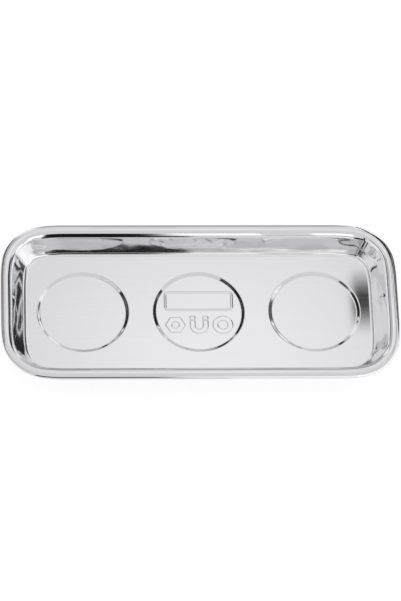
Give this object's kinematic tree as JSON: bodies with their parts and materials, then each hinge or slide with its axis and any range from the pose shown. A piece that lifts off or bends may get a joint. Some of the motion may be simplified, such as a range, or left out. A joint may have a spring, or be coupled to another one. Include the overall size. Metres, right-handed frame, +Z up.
{
  "type": "magnetic parts tray",
  "caption": "Shallow oblong steel parts tray with a rolled rim and round floor recesses, each backed by a ring magnet in a rubber boot that holds the tray to steel.",
  "frame": {"origin": "on the bench, at the undersides of the boots, under the middle of the tray", "axes": "+X along the tray's length, +Y across it, +Z up out of the pan"},
  "size_m": [0.36, 0.161, 0.0359],
  "materials": {
    "polished_steel": "polished",
    "ferrite": "matte",
    "rubber": "matte",
    "zinc_plated_steel": "satin",
    "spring_steel": "satin"
  },
  "bodies": {
    "root": {"tray_pan": "polished_steel", "ring_magnet_left": "ferrite", "ring_magnet_centre": "ferrite", "ring_magnet_right": "ferrite", "rubber_boot_left": "rubber", "rubber_boot_centre": "rubber", "rubber_boot_right": "rubber", "weld_stud_left": "zinc_plated_steel", "weld_stud_centre": "zinc_plated_steel", "weld_stud_right": "zinc_plated_steel", "clamp_washer_left": "zinc_plated_steel", "clamp_washer_centre": "zinc_plated_steel", "clamp_washer_right": "zinc_plated_steel", "spring_washer_left": "spring_steel", "spring_washer_centre": "spring_steel", "spring_washer_right": "spring_steel", "hex_nut_left": "zinc_plated_steel", "hex_nut_centre": "zinc_plated_steel", "hex_nut_right": "zinc_plated_steel"}
  },
  "joints": []
}
